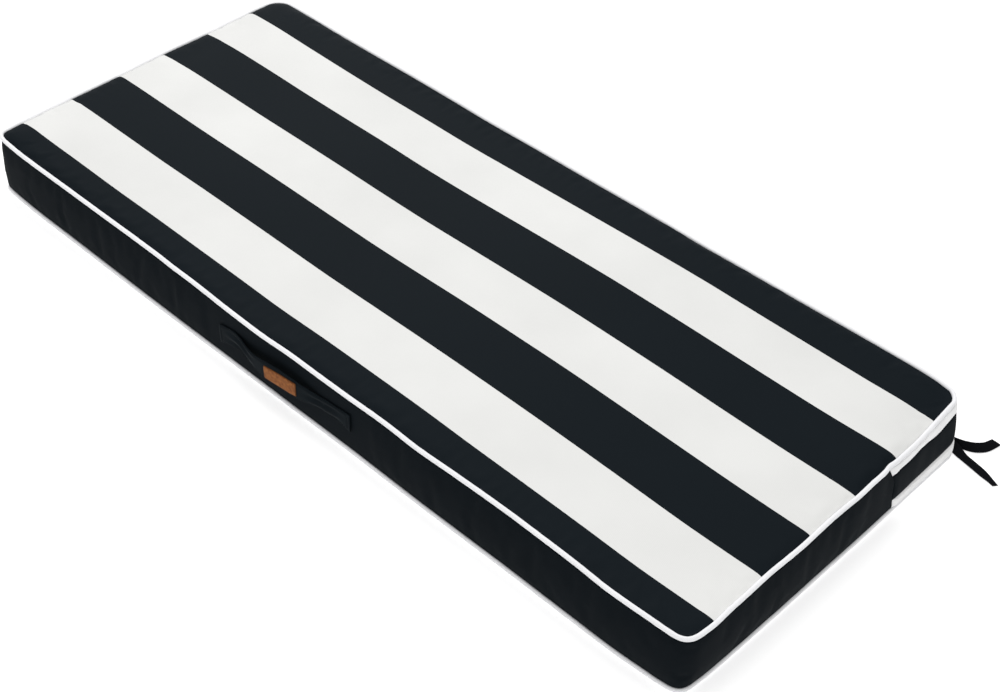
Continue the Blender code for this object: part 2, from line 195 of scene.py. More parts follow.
# The tie tails, from the lower seam to the free end: x, y, z of the tape's middle, and its lean from lying flat,
# in degrees
UPPER_TAIL = (
    (0.556, 0.2564, 0.0068, 90.0), (0.574, 0.2574, 0.0067, 90.0), (0.59, 0.2588, 0.0069, 86.0),
    (0.603, 0.2616, 0.007, 72.0), (0.6128, 0.2672, 0.0065, 57.0), (0.6198, 0.276, 0.0052, 40.0),
    (0.625, 0.297, 0.0028, 8.0),
)
LOWER_TAIL = (
    (0.556, 0.2543, 0.0068, 90.0), (0.572, 0.2546, 0.0067, 90.0), (0.584, 0.2543, 0.0065, 80.0),
    (0.592, 0.2532, 0.0056, 58.0), (0.6, 0.2518, 0.0036, 28.0), (0.6075, 0.2505, 0.0014, 5.0),
    (0.6207, 0.2478, 0.001, 0.0), (0.6337, 0.2451, 0.001, 0.0), (0.6467, 0.2416, 0.001, 0.0),
    (0.6612, 0.237, 0.001, 0.0),
)


# ---------- mathematics

def hermite(share, width, start, end, slope, end_slope):
    """The cubic between two values with given slopes there, at a share s of the width w between them:
    (1 + 2s)(1 - s)^2 start + s^2 (3 - 2s) end + s (1 - s)^2 w slope - s^2 (1 - s) w end_slope."""
    return ((1 + 2 * share) * (1 - share) ** 2 * start + share ** 2 * (3 - 2 * share) * end
            + share * (1 - share) ** 2 * width * slope - share ** 2 * (1 - share) * width * end_slope)


def spline(rows, column, at):
    """Values of one column of a table at any places: cubic Hermite pieces whose slopes are the table's own
    central differences, held at the end values beyond its ends."""
    places, values = np.array(rows)[:, [0, column]].T
    slopes = np.gradient(values, places)
    at = np.clip(at, places[0], places[-1])
    left = np.clip(np.searchsorted(places, at, side="right") - 1, 0, len(places) - 2)
    width = places[left + 1] - places[left]
    return hermite((at - places[left]) / width, width, values[left], values[left + 1], slopes[left],
                   slopes[left + 1])


def smooth(low, high, at):
    """0 below low, 1 above high, and 3t^2 - 2t^3 between them."""
    share = np.clip((at - low) / (high - low), 0.0, 1.0)
    return share * share * (3 - 2 * share)


def uneven(at, length, seed):
    """A smooth uneven wave between about -1 and 1: five sines of wave lengths that fall from the given one to
    about a third of it, in ratios that never repeat, with phases from the seed."""
    parts = 5
    total = np.zeros_like(at, dtype=float)
    for part in range(parts):
        pitch = length / (1 + 0.47 * part)
        total += math.cos(seed * (part + 2.3) * 1.7) * np.sin(math.tau * at / pitch + seed * (part + 1) * 2.1)
    return total / math.sqrt(parts)


def reaches(points):
    """How far along a line each of its points lies: 0, and then the running total of the steps between them."""
    return np.concatenate([[0.0], np.cumsum(np.linalg.norm(np.diff(points, axis=0), axis=1))])


def unit(vectors):
    """Vectors brought to a length of 1."""
    return vectors / np.linalg.norm(vectors, axis=1)[:, None]


def rounded(across, power):
    """The share of its thickness that a strip with rounded edges has, from -1 to 1 across it:
    sqrt(1 - |across|^power)."""
    return np.sqrt(np.clip(1 - np.abs(across) ** power, 0.0, 1.0))


def strip_section(across, inner, outer):
    """A strip's closed section: its inner face from one edge to the other, and its outer face back again."""
    back = slice(-2, 0, -1)
    return np.vstack([np.column_stack([across, inner]), np.column_stack([across[back], outer[back]])])


class Seams:
    """The stations round the cushion, counterclockwise from the middle of the front right corner: their places
    on both seams, which way is out, and the swell. A corner is an arc of its radius and a side is a straight line
    between two arcs; both are moved out by one smooth closed curve through the sides' sway and the corners'
    pull."""

    def __init__(self):
        half_length = SEAM_LENGTH / 2
        half_depth = SEAM_DEPTH / 2
        sides = ((1, RIGHT_SWAY, SHORT_STEPS), (0, BACK_SWAY, LONG_STEPS), (1, LEFT_SWAY, SHORT_STEPS),
                 (0, FRONT_SWAY, LONG_STEPS))
        rows = []
        wander = []
        first = 0
        for number, corner in enumerate(CORNERS):
            after = CORNERS[(number + 1) % 4]
            axis, sway, steps = sides[number]
            turn = math.radians(90 * number - 90)
            angle = turn + math.radians(90) * np.arange(CORNER_STEPS + 1) / CORNER_STEPS
            arc = np.column_stack([np.cos(angle), np.sin(angle)])
            middle = np.array([corner["x"] * half_length, corner["y"] * half_depth])
            side = np.array([corner["x"], corner["y"]])
            places = [middle - side * corner[level] + arc * corner[level] for level in ("upper", "lower")]
            rows.append(np.column_stack([*places, arc, np.full(len(arc), corner["swell"])]))
            wander.append((first + CORNER_STEPS / 2, *corner["pull"]))
            first += CORNER_STEPS
            share = np.arange(1, steps) / steps
            out = np.array([math.cos(turn + math.pi / 2), math.sin(turn + math.pi / 2)]).round()
            reach = (half_length, half_depth)
            places = []
            for level in ("upper", "lower"):
                start = corner["xy"[axis]] * (reach[axis] - corner[level])
                end = after["xy"[axis]] * (reach[axis] - after[level])
                along = start + (end - start) * share
                across = np.full(steps - 1, reach[1 - axis] * out[1 - axis])
                places.append(np.column_stack([across, along] if axis else [along, across]))
                if level == "upper":
                    table = np.array(sway)
                    number_of = first + (table[:, 0] - start) / (end - start) * steps
                    wander += sorted(np.column_stack([number_of, table[:, 1:]]).tolist())
            swell = corner["swell"] + (after["swell"] - corner["swell"]) * share
            rows.append(np.column_stack([*places, np.tile(out, (steps - 1, 1)), swell]))
            first += steps
        table = np.vstack(rows)
        wander = np.array(wander)
        whole_turn = (len(table), 0.0, 0.0)
        wander = np.vstack([wander[-3:] - whole_turn, wander, wander[:3] + whole_turn])
        for column in (1, 2):
            places = slice(2 * column - 2, 2 * column)
            table[:, places] += table[:, 4:6] * spline(wander, column, np.arange(len(table)))[:, None]
        table = np.roll(table, -(CORNER_STEPS // 2), axis=0)
        self.upper = table[:, 0:2]
        self.lower = table[:, 2:4]
        self.out = table[:, 4:6]
        self.swell = table[:, 6]
        steps = np.hypot(*(np.roll(self.upper, -1, axis=0) - self.upper).T)
        self.along = np.concatenate([[0.0], np.cumsum(steps)])

    def on_side(self, number, height, clear):
        """Points clear of the swollen side at station numbers, whole or not, and heights, all of one shape."""
        table = np.column_stack([self.upper, self.lower, self.out, self.swell])
        upper_x, upper_y, lower_x, lower_y, out_x, out_y, swell = (
            np.interp(number, np.arange(len(table)), column) for column in table.T)
        share = (height - LOWER_SEAM) / SEAM_RISE
        reach = swell * np.sin(np.pi * share) ** SWELL_SHAPE + clear
        return np.stack([lower_x + (upper_x - lower_x) * share + out_x * reach,
                         lower_y + (upper_y - lower_y) * share + out_y * reach, height], axis=-1)

    def rippled(self, height):
        """The ring of the swollen side at a height: the straight blend of the two seams, pushed out by the swell
        times sin(pi * share)^0.6, and by soft upright ripples: each a bell along the seam,
        depth * exp(-(distance / width)^2), that leans and fades to both seams as sin(pi * share)."""
        share = (height - LOWER_SEAM) / SEAM_RISE
        along = self.along[:-1]
        lift = np.zeros_like(along)
        for x, y, depth, width, foot in RIPPLES:
            head = along[np.hypot(self.upper[:, 0] - x, self.upper[:, 1] - y).argmin()]
            lift += depth * np.exp(-((along - head - foot * (1 - share)) / width) ** 2)
        bow = math.sin(math.pi * share)
        reach = self.swell * bow ** SWELL_SHAPE + lift * bow
        flat = self.lower + (self.upper - self.lower) * share + self.out * reach[:, None]
        return np.column_stack([flat, np.full(len(flat), height)])

    def ring(self, upper, reach, height):
        """The ring of points at a reach outwards from a seam and at a height."""
        flat = (self.upper if upper else self.lower) + self.out * np.reshape(reach, (-1, 1))
        return np.column_stack([flat, np.broadcast_to(height, len(flat))])


seams = Seams()
COUNT = len(seams.upper)
ROWS_ACROSS = SHORT_STEPS + CORNER_STEPS
ROWS_ALONG = LONG_STEPS + CORNER_STEPS


# ---------- meshes

def placed(name, data):
    """A new object of the scene, at the origin."""
    item = bpy.data.objects.new(name, data)
    bpy.context.scene.collection.objects.link(item)
    return item


def put_mesh(name, points, faces, flat_map, materials, face_materials=None):
    """A piece from whole arrays: points, quads, and a place in metres on the flat cloth for each quad's corner."""
    mesh = bpy.data.meshes.new(name)
    mesh.vertices.add(len(points))
    mesh.vertices.foreach_set("co", np.asarray(points, dtype=np.float32).ravel())
    mesh.loops.add(faces.size)
    mesh.loops.foreach_set("vertex_index", faces.ravel().astype(np.int32))
    mesh.polygons.add(len(faces))
    mesh.polygons.foreach_set("loop_start", np.arange(0, faces.size, 4, dtype=np.int32))
    mesh.polygons.foreach_set("loop_total", np.full(len(faces), 4, dtype=np.int32))
    mesh.uv_layers.new(name="flat_cloth").data.foreach_set("uv", flat_map.astype(np.float32).ravel())
    for made in materials:
        mesh.materials.append(made)
    if face_materials is not None:
        mesh.polygons.foreach_set("material_index", face_materials.astype(np.int32))
    mesh.update(calc_edges=True)
    mesh.validate()
    mesh.shade_smooth()
    piece = placed(name, mesh)
    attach(piece, "root")
    return piece


def band_faces(rows, count):
    """Quads between rows of points, each row joined to itself end to end, and the grid numbers of each quad's
    corners for its place on the flat cloth."""
    row, column = (part.ravel() for part in np.meshgrid(np.arange(rows - 1), np.arange(count), indexing="ij"))
    after = (column + 1) % count
    faces = np.column_stack([row * count + column, row * count + after,
                             (row + 1) * count + after, (row + 1) * count + column])
    numbers = np.stack([np.column_stack([row, row, row + 1, row + 1]),
                        np.column_stack([column, column + 1, column + 1, column])], axis=2)
    return faces, numbers


def loft(name, sections, made):
    """A closed tube of cloth through closed sections, an array of sections by points by xyz. Each end is closed
    by quads across the section, and the flat map is length along by girth."""
    stations, count = sections.shape[:2]
    along = reaches(sections.mean(axis=1))
    middle = sections[stations // 2]
    girth = reaches(np.vstack([middle, middle[:1]]))
    faces, numbers = band_faces(stations, count)
    flat_map = np.stack([along[numbers[..., 0]], girth[numbers[..., 1]]], axis=2)
    first = np.arange(count // 2 - 1)
    cap = np.column_stack([first, first + 1, count - 2 - first, count - 1 - first])
    caps = np.vstack([cap[:, ::-1], cap + (stations - 1) * count])
    cap_map = np.tile(flat_map[:1], (len(caps), 1, 1))
    return put_mesh(name, sections.reshape(-1, 3), np.vstack([faces, caps]), np.vstack([flat_map, cap_map]),
                    [made])


# ---------- materials

def linear(hexadecimal):
    """A colour written as sRGB hex digits, as linear red, green, blue and alpha."""
    srgb = np.array([int(hexadecimal[i:i + 2], 16) / 255 for i in (0, 2, 4)])
    value = np.where(srgb <= 0.04045, srgb / 12.92, ((srgb + 0.055) / 1.055) ** 2.4)
    return (*value.tolist(), 1.0)


def add(tree, kind, inputs, **attributes):
    """One node of a material: its attributes set, and each input given a value or another node's output."""
    node = tree.nodes.new("ShaderNode" + kind)
    for name, value in attributes.items():
        setattr(node, name, value)
    for name, value in inputs.items():
        if isinstance(value, bpy.types.NodeSocket):
            tree.links.new(value, node.inputs[name])
        else:
            node.inputs[name].default_value = value
    return node


def start(name, **settings):
    """An empty material with its shader and output, and the shader's own values set."""
    made = bpy.data.materials.new(name)
    made.use_nodes = True
    tree = made.node_tree
    tree.nodes.clear()
    values = {key.replace("_", " "): value for key, value in settings.items()}
    shader = add(tree, "BsdfPrincipled", values)
    add(tree, "OutputMaterial", {"Surface": shader.outputs["BSDF"]})
    return made, tree, shader


def scaled(tree, colour, share):
    """A colour times a share."""
    return add(tree, "VectorMath", {0: colour, "Scale": share}, operation="SCALE").outputs[0]


def toned(tree, position, colour, scale, low, high):
    """A colour made slightly uneven: times noise of a scale that runs from low to high."""
    noise = add(tree, "TexNoise", {"Vector": position, "Scale": scale, "Detail": 3.0}).outputs["Fac"]
    tone = add(tree, "MapRange", {"Value": noise, "From Min": 0.3, "From Max": 0.7, "To Min": low,
                                  "To Max": high})
    return scaled(tree, colour, tone.outputs["Result"])


def ramped(tree, share, colours, places=(0.0, 1.0)):
    """A blend of two colours as a share runs from one place to the other."""
    ramp = add(tree, "ValToRGB", {"Fac": share})
    for element, colour, place in zip(ramp.color_ramp.elements, colours, places):
        element.position = place
        element.color = linear(colour)
    return ramp.outputs["Color"]


def raised(tree, shader, height, depth):
    """The shader's surface raised by a texture, up to a depth in metres."""
    bump = add(tree, "Bump", {"Height": height, "Distance": depth, "Strength": 0.6})
    tree.links.new(bump.outputs["Normal"], shader.inputs["Normal"])


def weave(tree, shader, coloured, cell, depth, turn=0.0):
    """A plain weave on the flat map: ridges of two crossing threads, with the colour a little deeper between
    them. A wave texture of scale s has its ridges tau / (20 s) apart, so here they lie 0.63 of the cell apart:
    1.4 mm on the canvas, where real threads lie about 0.5 mm apart, so that they hold in a render."""
    place = add(tree, "UVMap", {}, uv_map="flat_cloth").outputs["UV"]
    turned = add(tree, "Mapping", {"Vector": place, "Rotation": (0.0, 0.0, turn)}).outputs["Vector"]
    warp, weft = (add(tree, "TexWave", {"Vector": turned, "Scale": 0.5 / cell, "Distortion": 0.6,
                                        "Detail": 1.0}, bands_direction=way).outputs["Fac"] for way in "XY")
    both = add(tree, "Math", {0: warp, 1: weft}, operation="MULTIPLY").outputs[0]
    raised(tree, shader, both, depth)
    shade = add(tree, "MapRange", {"Value": both, "To Min": 0.965, "To Max": 1.105}).outputs["Result"]
    tree.links.new(scaled(tree, coloured, shade), shader.inputs["Base Color"])


# Solution-dyed acrylic canvas, woven in black and white bands: matt, clean and even, with a fine dry weave that
# only shows as a slight softness; the black is a cool charcoal that greys where it is seen flat
striped_canvas, tree, shader = start("striped_acrylic_canvas", Roughness=0.7, Specular_IOR_Level=0.06,
                                     Sheen_Weight=0.04, Sheen_Roughness=0.3)
position = add(tree, "TexCoord", {}).outputs["Object"]
drift = add(tree, "TexNoise", {"Vector": position, "Scale": 160.0, "Detail": 2.0}).outputs["Fac"]
across = add(tree, "SeparateXYZ", {"Vector": position}).outputs["Y"]
shaken = add(tree, "MapRange", {"Value": drift, "To Min": -0.0001, "To Max": 0.0001}).outputs["Result"]
place = add(tree, "Math", {0: across, 1: shaken}, operation="ADD").outputs[0]
in_white = add(tree, "Math", {0: place, 1: STRIPE_EDGES[0]}, operation="GREATER_THAN").outputs[0]
for number, edge in enumerate(STRIPE_EDGES[1:]):
    past = add(tree, "Math", {0: place, 1: edge}, operation="GREATER_THAN").outputs[0]
    in_white = add(tree, "Math", {0: in_white, 1: past}, operation=("SUBTRACT", "ADD")[number % 2]).outputs[0]
coloured = toned(tree, position, ramped(tree, in_white, ("0f161b", "dfdfdd")), 7.0, 0.96, 1.03)
weave(tree, shader, coloured, CANVAS_CELL, CANVAS_DEPTH)


def plain_canvas(name, colour, cell=CANVAS_CELL, depth=CANVAS_DEPTH, turn=0.0, spread=0.04, shine=0.02,
                 fuzz=0.01):
    """Plain woven canvas of one dye: matt, with a fine weave and a slight unevenness of tone."""
    made, tree, shader = start(name, Roughness=0.7, Specular_IOR_Level=shine, Sheen_Weight=fuzz,
                               Sheen_Roughness=0.3)
    position = add(tree, "TexCoord", {}).outputs["Object"]
    coloured = toned(tree, position, linear(colour)[:3], 30.0, 1 - spread, 1 + spread)
    weave(tree, shader, coloured, cell, depth, turn)
    return made


# The same canvas dyed black in one piece, for the side and the zip band: nearly no shine, a dry cool black
black_canvas = plain_canvas("black_acrylic_canvas", "101519")
# Black canvas folded double and topstitched, for the strap: a coarser, patchier weave that catches more light
doubled_canvas = plain_canvas("black_doubled_canvas", "11171b", 0.0026, 0.00015, 0.0, 0.14, 0.03, 0.015)
# White canvas for the strips over and under the zip band: plain and matt, a little cooler than the stripes
strip_canvas = plain_canvas("white_acrylic_canvas", "f4f4f4")
# Canvas cut on the bias and sewn tight round a cord: bright, with the weave at a slant
bias_welt = plain_canvas("white_bias_welt", "f0f0f2", 0.0022, 0.00010, math.radians(45), 0.02)
# Black tape folded and pressed flat, for the ties: a finer, closer weave with a trace of shine
black_tape = plain_canvas("black_folded_tape", "111215", 0.0018, 0.00008, shine=0.02, fuzz=0.015)
# Spun polyester sewing threads: they show as small raised dashes in the colour of the cloth
black_thread = plain_canvas("black_polyester_thread", "15181b", 0.0009, 0.00002)
white_thread = plain_canvas("white_polyester_thread", "f4f4f4", 0.0009, 0.00002)

# Tanned leather, smooth with a fine grain: warm brown, a soft shine, and darker along its cut edge
leather, tree, shader = start("brown_tanned_leather", Roughness=0.6, Specular_IOR_Level=0.08)
position = add(tree, "TexCoord", {}).outputs["Object"]
grain = add(tree, "TexVoronoi", {"Vector": position, "Scale": 900.0}).outputs["Distance"]
blotch = add(tree, "TexNoise", {"Vector": position, "Scale": 220.0, "Detail": 4.0}).outputs["Fac"]
coloured = ramped(tree, blotch, ("6c3c1c", "995f30"), (0.3, 0.7))
rim = add(tree, "Attribute", {}, attribute_name="rim").outputs["Fac"]
rim = add(tree, "MapRange", {"Value": rim, "To Min": 1.0, "To Max": 0.45}).outputs["Result"]
tree.links.new(scaled(tree, coloured, rim), shader.inputs["Base Color"])
raised(tree, shader, grain, 0.0003)


# ---------- camera

def set_camera():
    """The photograph's camera: 43 degrees round from the front to the right, 42 degrees up, and rolled a little,
    all about the point that it looks at."""
    azimuth, elevation, roll = np.radians([43.1095, 42.1121, 1.6695])
    target = Vector((0.1014559, 0.0015701, 0.0032))
    distance = 2.10227
    back = Vector((math.cos(elevation) * math.sin(azimuth), -math.cos(elevation) * math.cos(azimuth),
                   math.sin(elevation)))
    level = (-back).cross(Vector((0, 0, 1))).normalized()
    upright = level.cross(-back)
    right = math.cos(roll) * level + math.sin(roll) * upright
    top = -math.sin(roll) * level + math.cos(roll) * upright
    data = bpy.data.cameras.new("camera")
    data.sensor_width = 36.0
    data.lens = 61.44
    data.clip_start = 0.05
    camera = placed("camera", data)
    turned = Matrix((right, top, back)).transposed().to_4x4()
    camera.matrix_world = Matrix.Translation(target + distance * back) @ turned
    bpy.context.scene.camera = camera


# ---------- pieces

def tie_tail(name, node, route, slant, taper):
    """A flat tape along a route: at each station a rounded strip leans over by the route's angle. Its free end is
    cut at a slant, by moving each point along the run by an amount that grows towards the end, and is drawn in
    by the taper over its last 26 mm."""
    table = np.array(route)
    reach = reaches(table[:, :3])
    rows = np.column_stack([reach, table])
    stations = np.linspace(0.0, reach[-1], 90)
    places = np.column_stack([spline(rows, column, stations) for column in (1, 2, 3)])
    lean = np.radians(spline(rows, 4, stations))[:, None]
    run = unit(np.gradient(places, axis=0))
    level = unit(np.column_stack([-run[:, 1], run[:, 0], np.zeros(len(run))]))
    wide = level * np.cos(lean) + np.cross(run, level) * np.sin(lean)
    face = np.cross(run, wide)
    width = np.linspace(-1.0, 1.0, 15)
    edge = rounded(width, 6) * (0.82 + 0.18 * np.cos(width * math.pi * 2))
    profile = strip_section(width, -edge, edge)
    narrow = 1.0 - taper * smooth(reach[-1] - TAPER_LENGTH, reach[-1], stations)
    across = profile[None, :, 0] * (TAPE_WIDTH / 2) * narrow[:, None]
    thick = profile[None, :, 1] * (TAPE_THICKNESS / 2) * np.ones_like(across)
    shift = slant * across * smooth(reach[-1] * 0.8, reach[-1], stations)[:, None]
    sections = (places[:, None] + wide[:, None] * across[..., None] + face[:, None] * thick[..., None]
                + run[:, None] * shift[..., None])
    piece = loft(name, sections, black_tape)
    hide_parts(node)


def crown_height(flat, inset):
    """Height of the top panel at points in plan: the crown table, smooth along the cushion and across it, times
    tanh(inset / 14 mm), so that it falls to the seam at the panel's edge."""
    columns = np.stack([spline(CROWN, column, flat[:, 0]) for column in range(1, 7)])
    edges = np.array(STRIPE_EDGES)
    slopes = np.gradient(columns, edges, axis=0)
    at = np.clip(flat[:, 1], edges[0], edges[-1])
    left = np.clip(np.searchsorted(edges, at, side="right") - 1, 0, 4)
    width = edges[left + 1] - edges[left]
    number = np.arange(len(flat))
    height = hermite((at - edges[left]) / width, width, columns[left, number], columns[left + 1, number],
                     slopes[left, number], slopes[left + 1, number])
    beyond = flat[:, 1] - at
    height += beyond * np.where(beyond > 0, slopes[5], slopes[0])
    return UPPER_SEAM + height * MILLIMETRE * np.tanh(inset / CROWN_EDGE)


def inset_from_seam(flat):
    """How far each point in plan lies from the upper seam: it finds the nearest station, and then the nearer of
    the two straight steps that meet there. The points are taken in 60 parts, to spare memory."""
    line = seams.upper
    found = []
    for part in np.array_split(flat, 60):
        near = ((part[:, None] - line[None]) ** 2).sum(axis=2).argmin(axis=1)
        distances = []
        for neighbour in ((near + 1) % COUNT, (near - 1) % COUNT):
            step = line[neighbour] - line[near]
            share = np.clip(((part - line[near]) * step).sum(axis=1) / (step ** 2).sum(axis=1), 0.0, 1.0)
            distances.append(np.hypot(*(part - line[near] - step * share[:, None]).T))
        found.append(np.minimum(*distances))
    return np.concatenate(found)


def inner_ring(inset):
    """A ring of points in plan with four square corners, at an inset from the straight seams. Its points keep
    abreast of the seam's stations, and draw together over the last ones before each corner."""
    half = np.array([SEAM_LENGTH, SEAM_DEPTH]) / 2 - inset
    corners = np.array([(1, -1), (1, 1), (-1, 1), (-1, -1), (1, -1)]) * half
    parts = []
    first = 0
    for number, count in enumerate((ROWS_ACROSS, ROWS_ALONG, ROWS_ACROSS, ROWS_ALONG)):
        axis = 1 - number % 2
        stops = np.array([0, DRAWN_STATIONS, count - DRAWN_STATIONS, count])
        known = (corners[number][axis], *seams.upper[first + stops[1:3], axis], corners[number + 1][axis])
        along = np.interp(np.arange(count), stops, known)
        across = np.full(count, corners[number][1 - axis])
        parts.append(np.column_stack([across, along] if axis else [along, across]))
        first += count
    return np.vstack(parts)


def ring_edges(ring):
    """The right, back, left and front edges of a panel from its ring, each from the front or from the left."""
    across, along = ROWS_ACROSS, ROWS_ALONG
    return (ring[:across + 1], ring[across:across + along + 1][::-1],
            ring[across + along:2 * across + along + 1][::-1],
            np.concatenate([ring[2 * across + along:], ring[:1]]))


def panel_grid(ring):
    """The points of a panel inside its ring, in plan: the front and back edges blended across, plus the right and
    left edges blended along, less the blend of the four corners."""
    right, back, left, front = ring_edges(ring)
    u = np.linspace(0.0, 1.0, ROWS_ALONG + 1)[None, :, None]
    v = np.linspace(0.0, 1.0, ROWS_ACROSS + 1)[:, None, None]
    return ((1 - v) * front[None] + v * back[None] + (1 - u) * left[:, None] + u * right[:, None]
            - (1 - u) * (1 - v) * front[0] - u * (1 - v) * front[-1]
            - (1 - u) * v * back[0] - u * v * back[-1])


def panel_numbers(first, inner):
    """Vertex numbers of a panel's grid: its edge is the ring that starts at the first number, and its inside
    starts at the inner one."""
    numbers = np.zeros((ROWS_ACROSS + 1, ROWS_ALONG + 1), dtype=int)
    numbers[:, -1], numbers[-1], numbers[:, 0], numbers[0] = ring_edges(first + np.arange(COUNT))
    inside = numbers[1:-1, 1:-1]
    inside[:] = inner + np.arange(inside.size).reshape(inside.shape)
    return numbers


def settle(cover, points, ring_rows, side_rows):
    """Cloth simulation of the filled cover, its result kept in the mesh. The cover is sewn fast at both seams, at
    the zip panel, behind the strap and where it rests; elsewhere it has a little more cloth than the seams have
    length, and air pressure fills it. It springs back to its filled shape, more strongly towards the middle of
    the top, and no point may move more than the cap."""
    rows = np.full(len(points), -1)
    rows[:len(ring_rows)] = ring_rows
    on_side = (rows > side_rows[0]) & (rows < side_rows[1] - 1)
    inset = np.full(len(points), 1.0)
    on_top = (points[:, 2] > UPPER_SEAM - 0.004) & ((rows > side_rows[1] + 3) | (rows < 0))
    inset[on_top] = inset_from_seam(points[on_top, :2])
    inward = smooth(0.010, 0.060, inset)
    fast = np.ones(len(points))
    fast[on_top] = 0.15 + 0.60 * inward[on_top]
    fast[on_side] = 0.05
    behind_zip = smooth(0.040, 0.088, points[:, 1])
    behind_strap = (smooth(-0.160, -0.130, points[:, 0]) * smooth(-0.155, -0.125, -points[:, 0])
                    * (points[:, 1] < -0.20))
    fast = np.where(on_side, np.maximum(fast, np.maximum(behind_zip, behind_strap)), fast)
    taut = np.where(on_top, inward, np.where(on_side, fast, 1.0))
    for name, weight in (("sewn_fast", fast), ("taut", taut)):
        group = cover.vertex_groups.new(name=name)
        level = np.round(weight * 40) / 40
        for value in np.unique(level):
            group.add(np.flatnonzero(level == value).tolist(), float(value), "REPLACE")
    cloth = cover.modifiers.new("settling", "CLOTH")
    settings = cloth.settings
    for name, value in {"quality": 4, "mass": 0.25, "bending_stiffness": 1.5, "use_pressure": True,
                        "uniform_pressure_force": 4.0, "vertex_group_mass": "sewn_fast",
                        "vertex_group_shrink": "taut", "shrink_min": -FULLNESS, "shrink_max": 0.0}.items():
        setattr(settings, name, value)
    settings.effector_weights.gravity = 0.0
    cloth.collision_settings.use_collision = False
    cloth.point_cache.frame_start = 1
    cloth.point_cache.frame_end = SETTLE_FRAMES
    scene = bpy.context.scene
    for frame_number in range(1, SETTLE_FRAMES + 1):
        scene.frame_set(frame_number)
    settled = cover.evaluated_get(bpy.context.evaluated_depsgraph_get())
    places = np.empty(len(points) * 3, dtype=np.float32)
    settled.data.vertices.foreach_get("co", places)
    moved = places.reshape(-1, 3) - points
    reach = np.linalg.norm(moved, axis=1)
    moved *= np.minimum(1.0, SETTLE_CAP / np.maximum(reach, 1e-9))[:, None]
    scene.frame_set(1)
    cover.modifiers.remove(cloth)
    cover.vertex_groups.clear()
    cover.data.vertices.foreach_set("co", (points + moved).astype(np.float32).ravel())
    cover.data.update()


def groove(upper, angles):
    """The rings of the groove that a seam's piping lies in, at angles round the piping's centre."""
    height = UPPER_SEAM if upper else LOWER_SEAM
    return [seams.ring(upper, GROOVE_RADIUS * math.cos(turn), height + GROOVE_RADIUS * math.sin(turn))
            for turn in np.radians(angles)]


def cushion_cover():
    """The filled cover as one closed form: flat underneath, sides swollen between the seams and drawn in at both,
    and a crowned top panel. The side's cloth starts and ends inside the two grooves."""
    resting = seams.ring(False, -RESTING_EDGE, 0.0)
    inner = inner_ring(PANEL_INSET)
    flat_ring = np.column_stack([inner, np.zeros(COUNT)])
    rings = [flat_ring, (flat_ring + resting) / 2, resting]
    rings += [seams.ring(False, -0.0075, 0.0002), seams.ring(False, -0.0050, 0.0010)]
    rings += groove(False, LOWER_GROOVE)
    side_from = len(rings)
    rings += [seams.rippled(height) for height in SIDE_HEIGHTS]
    side_to = len(rings)
    rings += groove(True, UPPER_GROOVE)
    edge = seams.upper - seams.out * PANEL_BLEND
    plans = [seams.upper - seams.out * inset for inset in PANEL_STEPS]
    plans += [edge + (inner - edge) * share for share in (0.0, 0.25, 0.5, 0.75, 1.0)]
    rings += [np.column_stack([flat, crown_height(flat, inset_from_seam(flat))]) for flat in plans]
    points = np.vstack(rings)
    faces, numbers = band_faces(len(rings), COUNT)
    steps = [np.linalg.norm(b - a, axis=1).mean() for a, b in zip(rings, rings[1:])]
    depth = np.concatenate([[0.0], np.cumsum(steps)])
    flat_map = np.stack([seams.along[numbers[..., 1]], depth[numbers[..., 0]]], axis=2)
    row = numbers[:, 0, 0]
    is_side = (row >= side_from - 4) & (row < side_to + 1)
    all_faces = [faces]
    all_maps = [np.where(is_side[:, None, None], flat_map, points[faces][..., :2])]
    indices = [is_side.astype(int)]
    for ring, top in ((rings[-1], True), (rings[0], False)):
        inside = panel_grid(ring[:, :2])[1:-1, 1:-1].reshape(-1, 2)
        height = crown_height(inside, inset_from_seam(inside)) if top else np.zeros(len(inside))
        numbers = panel_numbers((len(rings) - 1) * COUNT if top else 0, len(points))
        points = np.vstack([points, np.column_stack([inside, height])])
        quads = np.stack([numbers[:-1, :-1], numbers[:-1, 1:], numbers[1:, 1:], numbers[1:, :-1]], axis=2)
        quads = quads.reshape(-1, 4)
        if not top:
            quads = quads[:, ::-1]
        all_faces.append(quads)
        all_maps.append(points[quads][..., :2])
        indices.append(np.zeros(len(quads), dtype=int))
    cover = put_mesh("cushion_cover", points, np.vstack(all_faces), np.vstack(all_maps),
                     [striped_canvas, black_canvas], np.concatenate(indices))
    settle(cover, points, np.repeat(np.arange(len(rings)), COUNT), (side_from, side_to))
    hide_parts("cushion_body")


def piping(name, node, upper, seed):
    """A round welt along a seam: a circle of about 2.8 mm radius carried round it, a little uneven in thickness
    and place, as cloth wrapped on a cord is."""
    height = UPPER_SEAM if upper else LOWER_SEAM
    sides = 14
    angle = math.tau * np.arange(sides) / sides
    along = seams.along[:-1]
    radius = PIPING_RADIUS - 0.00012 + 0.00012 * uneven(along, 0.040, seed)
    lift = 0.00008 * uneven(along, 0.090, seed + 1)
    rings = [seams.ring(upper, radius * math.cos(turn), height + lift + radius * math.sin(turn)) for turn in angle]
    points = np.stack(rings + rings[:1])
    faces, numbers = band_faces(sides + 1, COUNT)
    faces = faces % (sides * COUNT)
    turned = numbers[..., 0] * math.tau * PIPING_RADIUS / sides
    flat_map = np.stack([seams.along[numbers[..., 1]], turned], axis=2)
    piece = put_mesh(name, points[:-1].reshape(-1, 3), faces, flat_map, [bias_welt])
    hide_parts(node)


